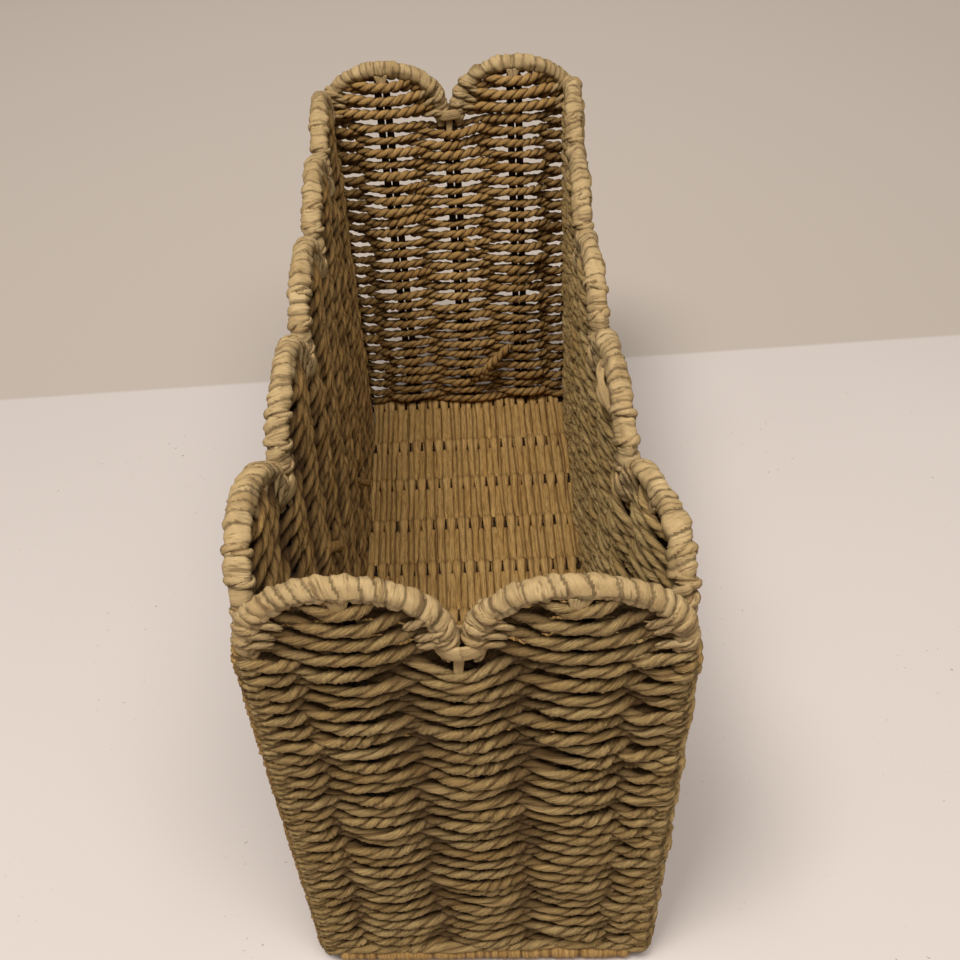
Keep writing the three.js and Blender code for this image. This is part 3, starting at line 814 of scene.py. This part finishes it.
def wound_strip(wall, scallop, strands):
    """The paper strip wound round the rim wire of one scallop, each turn lapped over the last"""
    u, z = scallop_line(scallop)
    z[[0, -1]] -= LEG_TUCK
    even, at = resample(np.stack([u, 0 * u, z], 1), RIM_STEP)
    tucked = np.clip(np.minimum(at, at[-1] - at) / LEG_TUCK, 0, 1)
    tucked = TUCKED_SHARE + (1 - TUCKED_SHARE) * tucked * tucked * (3 - 2 * tucked)
    path = wall.place(even[:, 0], 0, even[:, 2])
    along = at[:, None]
    around = np.arange(RIM_FLATS) * FULL_TURN / RIM_FLATS
    slant = along + TURN_WIDTH * around / FULL_TURN
    slant = slant + TURN_WAVE * np.sin(around + along / TURN_WAVE_RUN + rng.uniform(0, FULL_TURN))
    edges = turn_edges(at[-1])
    turn = np.clip(np.searchsorted(edges, slant, side="right") - 1, 0, len(edges) - 2)
    share = (slant - edges[turn]) / (edges[turn + 1] - edges[turn])
    depth = GROOVE_DEPTH * rng.uniform(*GROOVE_DEPTH_SHARES, len(edges))[turn]
    bulge = rng.uniform(-TURN_BULGE, TURN_BULGE, len(edges))[turn]
    barrel = np.sin(np.pi * np.clip(share, TURN_EDGE_SHARE, 1 - TURN_EDGE_SHARE)) ** TURN_ROUNDNESS
    radius = TURN_RADIUS + TURN_SWELL - depth * (1 - barrel) + bulge * np.sin(np.pi * share)
    folds = rng.uniform(*FOLD_HEIGHTS, len(edges))[turn]
    fold_phase = rng.uniform(0, FOLD_PHASES, len(edges))[turn]
    folds = folds * np.sin(share * FULL_TURN * FOLDS_PER_TURN + around * FOLD_SLANT + fold_phase)
    lumps = sum(height * np.sin(around * number + along / run) for height, number, run in LUMPS)
    roughness = 1 if wall.is_end else SIDE_ROUGHNESS
    radius = (radius + folds * barrel + roughness * lumps) * tucked[:, None]
    rings = rings_along(path, -wall.inwards, radius * np.cos(around), radius * np.sin(around))
    across, through = [turn * step for step in TURN_GRAIN_STEPS]
    grain = grain_places(share * TURN_WIDTH + across, around * TURN_RADIUS, through)
    tones = rng.normal(0, TURN_TONE_SPREAD, len(edges))[turn]
    # Painted shade in the grooves between the turns, darker where a groove is deeper
    strands.add(rings, grain, (1 - barrel) * depth / GROOVE_DEPTH, tones)


def notch_tie(wall, at, strands):
    """The band round two scallops' legs at a notch, and the strip that hangs from it on both faces"""
    turn = np.linspace(0, FULL_TURN, TIE_POINTS) - math.pi / 2
    u = at + TIE_HALF_LENGTH * squared(np.cos(turn), TIE_SQUARENESS)
    z = LEG_Z + TIE_RISE + TIE_WAVE * np.sin(turn * 2 + rng.uniform(0, FOLD_PHASES))
    path = wall.place(u, TIE_HALF_DEPTH * np.sin(turn), z)
    outward = path - wall.place(at, 0, LEG_Z)
    add_band(strands, path, outward, TIE_HALF_WIDTH, STRIP_HALF_THICK, TIE_TONE)
    lean = rng.uniform(*HANGER_LEANS)
    drop = np.linspace(0, 1, STRIP_END_POINTS)
    half_width = HANGER_HALF_WIDTH - HANGER_NARROWING * drop
    for face in (-1, 1):
        u = at + lean * face * (LEAN_SHARE + (1 - LEAN_SHARE) * drop)
        v = face * (HANGER_DEPTH - HANGER_BOW * np.sin(np.pi * drop))
        path = wall.place(u, v, LEG_Z - HANGER_LENGTH * drop)
        add_band(strands, path, wall.inwards * face, half_width, HANGER_HALF_THICK, STRIP_END_TONE)


def binding_loop(wall, scallop, way, degrees, strands):
    """A strand that climbs out of the weave, loops over the binding and goes back"""
    middle, half, leg_z, crest_z = scallop
    spring = leg_z + LEG_HEIGHT
    turn = math.radians(degrees + rng.uniform(-LOOP_STRAY, LOOP_STRAY))
    centre = np.array([middle + way * half * math.cos(turn), spring + (crest_z - spring) * math.sin(turn)])
    tangent = unit(np.array([-half * math.sin(turn) * way, (crest_z - spring) * math.cos(turn)]))
    across = np.array([way * tangent[1], -way * tangent[0]])
    sweep = np.radians(np.linspace(*LOOP_SWEEP_DEGREES, LOOP_POINTS))
    slip = rng.uniform(-LOOP_SLIP, LOOP_SLIP)
    flat = centre + LOOP_RADIUS * np.sin(sweep)[:, None] * across + slip * np.cos(sweep)[:, None] * tangent
    v = -LOOP_DEPTH * np.cos(sweep)
    # Both ends run on down into the weave, towards the middle of the scallop.
    into_weave = -across * LOOP_END_IN + np.array([-way * LOOP_END_TO_MIDDLE, -LOOP_END_DROP])
    down = np.linspace(1, LOOP_END_SHARE, LOOP_END_POINTS)[:, None] * into_weave
    flat = np.concatenate([flat[0] + down, flat, flat[-1] + down[::-1]])
    first_v = np.linspace(-LOOP_END_DEPTH, v[0], LOOP_END_POINTS)
    last_v = np.linspace(v[-1], LOOP_END_DEPTH, LOOP_END_POINTS)
    path, at = resample(wall.place(flat[:, 0], np.concatenate([first_v, v, last_v]), flat[:, 1]), LOOP_STEP)
    outward = path - wall.place(centre[0], 0, centre[1])
    drawn = taper(at, *LOOP_TAPER)
    tone = np.full(len(at), rng.normal(*LOOP_TONE))
    deep, high = LOOP_HALF_DEPTH * drawn, LOOP_HALF_HEIGHT * drawn
    add_rope(strands, path, at, outward, deep, high, at / LOOP_LAY * FULL_TURN, tone)


def shoulder_loops(wall, scallop, strands):
    for way in (-1, 1):
        for degrees in LOOP_DEGREES["end" if wall.is_end else "side"]:
            binding_loop(wall, scallop, way, degrees, strands)


def crest_tongue(wall, scallop, strands):
    """The end of a strip that comes out of the binding at a crest and narrows down over the first row"""
    middle, half, leg_z, crest_z = scallop
    drop = np.linspace(0, 1, STRIP_END_POINTS)
    half_width = TONGUE_HALF_WIDTH - TONGUE_NARROWING * drop
    for face in (-1, 1):
        u = middle + rng.uniform(-TONGUE_STRAY, TONGUE_STRAY) + TONGUE_LEAN * drop * rng.uniform(-1, 1)
        v = face * (TONGUE_DEPTH + TONGUE_OUT * np.sin(np.pi * drop / 2))
        path = wall.place(u, v, crest_z - TONGUE_TOP - TONGUE_LENGTH * drop)
        add_band(strands, path, wall.inwards * face, half_width, STRIP_HALF_THICK, STRIP_END_TONE)


def loose_leaf(strands):
    path, at = smoothed(LEAF)
    share = at / at[-1]
    turn = math.pi * (LEAF_TURN_SHARES[0] + LEAF_TURN_SHARES[1] * share)
    outward = np.stack([-np.sin(turn), 0 * turn, np.cos(turn)], 1)
    ripple = 1 + LEAF_RIPPLE_SHARE * np.sin(LEAF_RIPPLES * share)
    half_width = LEAF_END_HALF_WIDTH + LEAF_HALF_WIDTH * np.sin(np.pi * share) * ripple
    add_band(strands, path, outward, half_width, STRIP_HALF_THICK, LEAF_TONE)


# The base

def base_line(x, side, crossings):
    """One rope's line along the base, with the direction through the rope and its closeness to a wire"""
    keys = np.array([-HALF_LENGTH, *crossings, HALF_LENGTH])
    reach = WIRE_RADIUS + KNUCKLE_DEPTH / 2
    values = np.array([(side if i % 2 else -side) * reach for i in range(len(keys))])
    y = np.linspace(-HALF_LENGTH, HALF_LENGTH, BASE_POINTS)
    nearest = np.argmin(np.abs(y[:, None] - keys[None, :]), axis=1)
    away = np.abs(y - keys[nearest])
    half_span = HALF_LENGTH / (CROSS_WIRES + 1)
    slope = BASE_SLOPE_SHARE * (1 - away / half_span)
    rise = slope + (1 - BASE_SLOPE_SHARE) * np.exp(-((away / KNUCKLE_REACH) ** 2))
    points = np.stack([np.full(BASE_POINTS, x), y, FRAME_Z + values[nearest] * rise], 1)
    close = np.exp(-((away / KNUCKLE_WIDTH_REACH) ** 2))
    parts = [(points, np.tile([0.0, 0.0, 1.0], (BASE_POINTS, 1)), close)]
    # Round the end wires, from one face to the other
    turn = np.linspace(0, math.pi, HOOK_POINTS + 1)[1:]
    for way, start in ((-1, values[0]), (1, values[-1])):
        up = math.copysign(1, start)
        hook_y = way * (HALF_LENGTH + HOOK_REACH * np.sin(turn))
        hook = np.stack([np.full(HOOK_POINTS, x), hook_y, FRAME_Z + up * reach * np.cos(turn)], 1)
        axis = np.stack([0 * turn, way * np.sin(turn), up * np.cos(turn)], 1) * up
        part = (hook[::way], axis[::way], np.ones(HOOK_POINTS))
        parts.insert(0 if way < 0 else len(parts), part)
    return joined(parts)


def base_ropes():
    """Ropes along the base, turned round the frame at both ends"""
    strands = Strands()
    boxes = [node_box(f"cross_wire_{i + 1}") for i in range(CROSS_WIRES)]
    crossings = [float(lowest[1] + highest[1]) / 2 for lowest, highest in boxes]
    edge = node_box("base_weave")[1][0] + BASE_OVERHANG
    count = int(round(2 * edge / BASE_STEP)) + 1
    for number, x in enumerate(np.linspace(-edge, edge, count)):
        points, axes, near = base_line(x, 1 if number % 2 else -1, crossings)
        lengths = lengths_along(points)
        at = np.linspace(0, lengths[-1], int(lengths[-1] / RING_STEP))
        path = read_at(at, lengths, points)
        direction = unit(read_at(at, lengths, axes))
        close = np.interp(at, lengths, near)
        path[:, 0] += wander(at, *BASE_STRAY)
        wide = BASE_WIDTH / 2 + (KNUCKLE_WIDTH - BASE_WIDTH) / 2 * close
        deep = BASE_WIDTH / 2 + (KNUCKLE_DEPTH - BASE_WIDTH) / 2 * close
        spin = at / BASE_LAY * FULL_TURN + rng.uniform(0, FULL_TURN)
        tone = BASE_PAINTED_LIGHT_TONE + wander(at, *BASE_TONE_STRAY) + rng.normal(0, BASE_TONE_STRAY[1])
        # Painted shade on the hooks round the end wires
        past_end = np.clip((np.abs(path[:, 1]) - HALF_LENGTH - HOOK_SHADE_FROM) / HOOK_SHADE_FADE, 0, 1)
        add_rope(strands, path, at, direction, deep, wide, spin, tone, HOOK_PAINTED_SHADE * past_end[:, None])
    return strands


def hairpin(wall, at, top):
    """A stake of bent wire, up one leg, over the bend and down the other"""
    half = WIRE_RADIUS + HAIRPIN_SLIT / 2
    bend_z = top - WIRE_RADIUS - half
    up = np.linspace(FOOT_Z, bend_z, LEG_POINTS)
    bend = np.linspace(0, math.pi, BEND_POINTS + 2)[1:-1]
    leg = np.full(LEG_POINTS, half)
    u = np.concatenate([-leg, -half * np.cos(bend), leg])
    z = np.concatenate([up, bend_z + half * np.sin(bend), up[::-1]])
    strands = Strands()
    add_wire(strands, wall.place(at + u, 0 * u, z))
    return strands


# Materials

# Most of a noise's values lie between these.
NOISE_BAND = (0.3, 0.7)
PATCH_SCALE = (0.05, 0.05, 0.035)
PATCH_SHARES = (0.1, 0.9)
TONE_BAND = (-1.6, 1.6)
TONE_SHARES = (-0.22, 0.22)
FIBRE_FINENESS = 4
FIBRE_SHARE = 0.3
FIBRE_BUMP_SHARE = 0.35
CREASE_START = 0.34
CREASE_SHARE = 0.6
GROOVE_SHADE_START = 0.25
PAPER_ROUGHNESS = (0.82, 0.66)
PAPER_SPECULAR = 0.28
PAPER_BUMP = 0.5
PAPER_BUMP_STRENGTH = 0.9
# How fine the creases are across the strand, through it and along it
ROPE_CREASES = (2.2, 2.2, 0.16)
STRIP_CREASES = (0.85, 0.09, 0.4)


def colour(red, green, blue):
    """A display colour from 0 to 255 as the linear colour that shaders take"""
    shares = [channel / 255 for channel in (red, green, blue)]
    return tuple(s / 12.92 if s <= 0.04045 else ((s + 0.055) / 1.055) ** 2.4 for s in shares) + (1.0,)


class Nodes:
    """Short names for building a material's nodes"""

    def __init__(self, name):
        self.material = bpy.data.materials.new(name)
        self.material.use_nodes = True
        self.tree = self.material.node_tree
        self.shader = self.tree.nodes["Principled BSDF"]

    def node(self, kind, **settings):
        made = self.tree.nodes.new(kind)
        for key, value in settings.items():
            setattr(made, key, value)
        return made

    def link(self, source, target):
        self.tree.links.new(source, target)

    def fill(self, socket, value):
        """Sets a socket to a number or a colour, or links it to another node's output"""
        if isinstance(value, (int, float, tuple)):
            socket.default_value = value
        else:
            self.link(value, socket)

    def attribute(self, name, output="Fac"):
        return self.node("ShaderNodeAttribute", attribute_name=name).outputs[output]

    def object_place(self):
        return self.node("ShaderNodeTexCoord").outputs["Object"]

    def stretched(self, vector, scale):
        mapping = self.node("ShaderNodeMapping")
        mapping.inputs["Scale"].default_value = scale
        self.link(vector, mapping.inputs["Vector"])
        return mapping.outputs["Vector"]

    def noise(self, vector, scale, detail, roughness=0.55):
        made = self.node("ShaderNodeTexNoise")
        made.inputs["Scale"].default_value = scale
        made.inputs["Detail"].default_value = detail
        made.inputs["Roughness"].default_value = roughness
        self.link(vector, made.inputs["Vector"])
        return made.outputs["Fac"]

    def math(self, operation, first, second):
        made = self.node("ShaderNodeMath", operation=operation)
        self.fill(made.inputs[0], first)
        self.fill(made.inputs[1], second)
        return made.outputs[0]

    def spread(self, value, low, high, to_low=0.0, to_high=1.0):
        made = self.node("ShaderNodeMapRange")
        self.link(value, made.inputs["Value"])
        for title, number in (("From Min", low), ("From Max", high), ("To Min", to_low), ("To Max", to_high)):
            made.inputs[title].default_value = number
        return made.outputs["Result"]

    def mix(self, share, first, second):
        made = self.node("ShaderNodeMix", data_type="RGBA")
        inputs = [socket for socket in made.inputs if socket.enabled]
        for socket, value in zip(inputs, (share, first, second)):
            self.fill(socket, value)
        return next(socket for socket in made.outputs if socket.enabled)

    def finish(self, *values):
        """Sets the shader's colour, roughness, shine and normal, as many of them as are given"""
        for title, value in zip(("Base Color", "Roughness", "Specular IOR Level", "Normal"), values):
            self.fill(self.shader.inputs[title], value)
        return self.material

    def bump(self, height, distance, strength):
        made = self.node("ShaderNodeBump")
        made.inputs["Distance"].default_value = distance * MM
        made.inputs["Strength"].default_value = strength
        self.link(height, made.inputs["Height"])
        return made.outputs["Normal"]


def paper(name, light, middle, dark, creases, contrast, crease_end, groove_shade_share):
    """Twisted paper: creases along the grain, a slow change of tan, and painted shade in the grooves"""
    n = Nodes(name)
    light, middle, dark = colour(*light), colour(*middle), colour(*dark)
    grain = n.attribute("grain", "Vector")
    streaks = n.noise(n.stretched(grain, creases), 1.0, 4.0, 0.6)
    fibres = n.noise(n.stretched(grain, tuple(FIBRE_FINENESS * s for s in creases)), 1.0, 3.0, 0.7)
    patches = n.noise(n.stretched(grain, PATCH_SCALE), 1.0, 2.0)
    tone = n.spread(n.attribute("tone"), *TONE_BAND, *TONE_SHARES)
    shade = n.math("ADD", n.spread(patches, *NOISE_BAND, *PATCH_SHARES), tone)
    base = n.mix(n.math("MINIMUM", n.math("MAXIMUM", shade, 0.0), 1.0), middle, light)
    lined = n.mix(n.spread(streaks, CREASE_START, crease_end, CREASE_SHARE * contrast, 0.0), base, dark)
    fine = n.mix(n.spread(fibres, *NOISE_BAND, FIBRE_SHARE * contrast, 0.0), lined, dark)
    # Painted shade: the colour goes towards dark where the groove attribute marks grooves and recesses
    groove_shaded = n.mix(n.spread(n.attribute("groove"), GROOVE_SHADE_START, 1.0, 0.0, groove_shade_share), fine, dark)
    roughness = n.spread(streaks, *NOISE_BAND, *PAPER_ROUGHNESS)
    height = n.math("ADD", streaks, n.math("MULTIPLY", fibres, FIBRE_BUMP_SHARE))
    bump = n.bump(height, PAPER_BUMP, PAPER_BUMP_STRENGTH * contrast)
    return n.finish(groove_shaded, roughness, PAPER_SPECULAR, bump)


def wire_material():
    """Dark brown wire with a dull, speckled coat, its dark brown partly the coat's own and partly painted shade
    for the dark gaps where the stakes show
    """
    n = Nodes("frame_wire")
    place = n.object_place()
    blotches = n.noise(place, 240, 4.0)
    specks = n.noise(place, 1500, 3.0)
    coat = n.mix(n.spread(blotches, 0.4, 0.7), colour(36, 24, 13), colour(56, 38, 21))
    return n.finish(coat, n.spread(specks, *NOISE_BAND, 0.7, 0.9), 0.2, n.bump(specks, 0.1, 0.4))


# Each paper's light, middle and dark colours, creases, contrast, end of the creases and painted shade in the
# grooves
SIDE_ROPE = paper("woven_rope", (230, 197, 134), (199, 161, 97), (88, 59, 25), ROPE_CREASES, 1.1, 0.6, 0.8)
# Copies of the woven rope with painted shade for the front, back and left walls, and with painted light for the
# base
FRONT_ROPE_PAINTED_SHADE = paper("front_rope", (207, 176, 119), (178, 144, 86), (80, 53, 22), ROPE_CREASES, 1.1, 0.6, 0.8)
DEEP_ROPE_PAINTED_SHADE = paper("deep_rope_painted_shade", (224, 179, 110), (190, 143, 75), (64, 40, 17), ROPE_CREASES, 1.1, 0.6, 0.85)
BASE_ROPE_PAINTED_LIGHT = paper("base_rope_painted_light", (230, 187, 117), (208, 163, 94), (94, 60, 24), ROPE_CREASES, 1.0, 0.56, 0.8)
STRIP = paper("rim_strip", (200, 172, 124), (174, 144, 97), (80, 54, 26), STRIP_CREASES, 1.0, 0.46, 0.9)
WIRE = wire_material()
# The front, back and left walls take the copies with painted shade
WALL_PAPER = [FRONT_ROPE_PAINTED_SHADE, SIDE_ROPE, DEEP_ROPE_PAINTED_SHADE, DEEP_ROPE_PAINTED_SHADE]


def settle(piece, node):
    """The piece rides on the basket and stands for its CAD node"""
    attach(piece, "root")
    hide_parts(node)


# The woven walls, each long side in a lower and an upper half
row_pieces = weave_rows()
for wall in WALLS:
    rows = row_pieces[wall.name]
    halves = [rows] if wall.is_end else [rows[: len(rows) // 2], rows[len(rows) // 2 :]]
    for number, part in enumerate(halves):
        strands = Strands()
        for rope in part:
            add_rope(strands, *rope)
        if number == len(halves) - 1:
            scallop_rows(wall, strands)
            for points, radius in TAILS.get(wall.name, []):
                rope_tail(strands, points, radius)
        suffix = "" if wall.is_end else ("_lower", "_upper")[number]
        piece = strands.build(f"{wall.name}_rope{suffix}", WALL_PAPER[wall.number])
        settle(piece, f"{wall.name}_weave")

# The wound rim
for wall in WALLS:
    for number, scallop in enumerate(wall.scallops):
        strands = Strands()
        wound_strip(wall, scallop, strands)
        crest_tongue(wall, scallop, strands)
        shoulder_loops(wall, scallop, strands)
        if wall.name == "right" and number == 1:
            loose_leaf(strands)
        if number > 0:
            notch_tie(wall, wall.stakes[2 * number - 1], strands)
        node = f"{wall.name}_rim_strip_{number + 1}"
        settle(strands.build(f"{wall.name}_binding_{number + 1}", STRIP), node)

settle(base_ropes().build("base_rope_painted_light", BASE_ROPE_PAINTED_LIGHT), "base_weave")

# The stakes
for wall in WALLS:
    for number, at in enumerate(wall.stakes):
        node = f"{wall.name}_stake_{number + 1}"
        strands = hairpin(wall, at, node_box(node)[1][2])
        settle(strands.build(f"{wall.name}_hairpin_{number + 1}", WIRE), node)

# The wires not yet replaced keep the shapes of their CAD nodes, with the basket's unevenness.
for node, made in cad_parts.items():
    if made.hide_render:
        continue
    mesh = made.data.copy()
    points = np.empty(len(mesh.vertices) * 3, np.float32)
    mesh.vertices.foreach_get("co", points)
    mesh.vertices.foreach_set("co", (handmade(points.reshape(-1, 3) / MM) * MM).astype(np.float32).ravel())
    mesh.materials.clear()
    mesh.materials.append(WIRE)
    settle(add_object(f"{node}_uneven", mesh), node)

# One flat floor, in the tone of the photograph's wall beyond the line where that wall begins
FLOOR_HALF = 4000
WALL_LINE_LEFT = Vector((-280.3, 189, 0))
WALL_LINE_RIGHT = Vector((296.7, 202.5, 0))
WALL_LINE_BLUR = 1.2
# Beyond the line the floor is painted in the wall's tone: darker than the floor near the line, as painted shade
# of an upright wall under lamps from above, and lighter far off, as painted light against the lamps' falloff
WALL_FADE = 620
WALL_NEAR_PAINTED_SHADE = colour(197, 184, 172)
WALL_FAR_PAINTED_LIGHT = colour(228, 214, 201)
FLOOR_TONES = (colour(217, 206, 199), colour(213, 202, 195))
FLOOR_ROUGHNESS = 0.75
GRIT = colour(120, 100, 84)
GRIT_SHARE = 0.8


def floor_material():
    n = Nodes("floor")
    place = n.object_place()
    plain = n.mix(n.spread(n.noise(place, 3.0, 2.0), *NOISE_BAND), *FLOOR_TONES)
    patches = n.spread(n.noise(place, 14.0, 2.0), 0.5, 0.62, 0.0, GRIT_SHARE)
    specks = n.spread(n.noise(place, 420.0, 2.0), 0.7, 0.76)
    speckled = n.mix(n.math("MULTIPLY", specks, patches), plain, GRIT)
    # How far beyond the line a point lies
    way = (WALL_LINE_RIGHT - WALL_LINE_LEFT).normalized()
    across = Vector((-way.y, way.x, 0))
    beyond = n.node("ShaderNodeVectorMath", operation="DOT_PRODUCT")
    n.link(place, beyond.inputs[0])
    beyond.inputs[1].default_value = across
    at_line = across.dot(WALL_LINE_LEFT) * MM
    blur = WALL_LINE_BLUR * MM
    # Painted shade near the line, growing to painted light far off
    wall = n.mix(n.spread(beyond.outputs["Value"], at_line, at_line + WALL_FADE * MM), WALL_NEAR_PAINTED_SHADE, WALL_FAR_PAINTED_LIGHT)
    share = n.spread(beyond.outputs["Value"], at_line - blur, at_line + blur)
    return n.finish(n.mix(share, speckled, wall), FLOOR_ROUGHNESS)


half = FLOOR_HALF * MM
floor_mesh = bpy.data.meshes.new("floor")
corners = [(-half, -half, 0), (half, -half, 0), (half, half, 0), (-half, half, 0)]
floor_mesh.from_pydata(corners, [], [(0, 1, 2, 3)])
floor_mesh.materials.append(floor_material())
add_object("floor", floor_mesh)

# Lights: a pale sky, and two soft lamps whose size is in millimetres and power in watts
SKY_COLOUR = colour(255, 250, 244)
SKY_STRENGTH = 0.25
LAMP_COLOUR = (1.0, 0.98, 0.95)
LAMP_AIM = (0, 0, 50)

world = bpy.data.worlds.new("studio")
bpy.context.scene.world = world
world.use_nodes = True
world.node_tree.nodes["Background"].inputs["Color"].default_value = SKY_COLOUR
world.node_tree.nodes["Background"].inputs["Strength"].default_value = SKY_STRENGTH


def soft_lamp(name, place, size, watts):
    data = bpy.data.lights.new(name, "AREA")
    data.shape = "SQUARE"
    data.size = size * MM
    data.energy = watts
    data.color = LAMP_COLOUR
    lamp = add_object(name, data)
    lamp.location = Vector(place) * MM
    lamp.rotation_euler = (Vector(LAMP_AIM) * MM - lamp.location).to_track_quat("-Z", "Y").to_euler()


soft_lamp("key", (-300, -420, 1500), 420, 14.8)
soft_lamp("side", (260, -500, 1300), 500, 8)

# Camera, as the photograph was taken
CAMERA_PLACE = (10.09, -344.86, 418.02)
CAMERA_FORWARD = Vector((-0.009319, 0.726891, -0.686689))
CAMERA_RIGHT = Vector((0.99859, -0.029124, -0.044381))
FOCAL_PIXELS = 1133.9
IMAGE_PIXELS = 960
SENSOR = 36
CLIP_START = 10

camera_data = bpy.data.cameras.new("camera")
camera_data.sensor_width = SENSOR
camera_data.lens = FOCAL_PIXELS / IMAGE_PIXELS * SENSOR
camera_data.clip_start = CLIP_START * MM
camera = add_object("camera", camera_data)
up = CAMERA_RIGHT.cross(CAMERA_FORWARD).normalized()
columns = Matrix((CAMERA_RIGHT, up, -CAMERA_FORWARD)).transposed().to_4x4()
columns.translation = Vector(CAMERA_PLACE) * MM
camera.matrix_world = columns
bpy.context.scene.camera = camera
bpy.context.scene.view_settings.view_transform = "Standard"
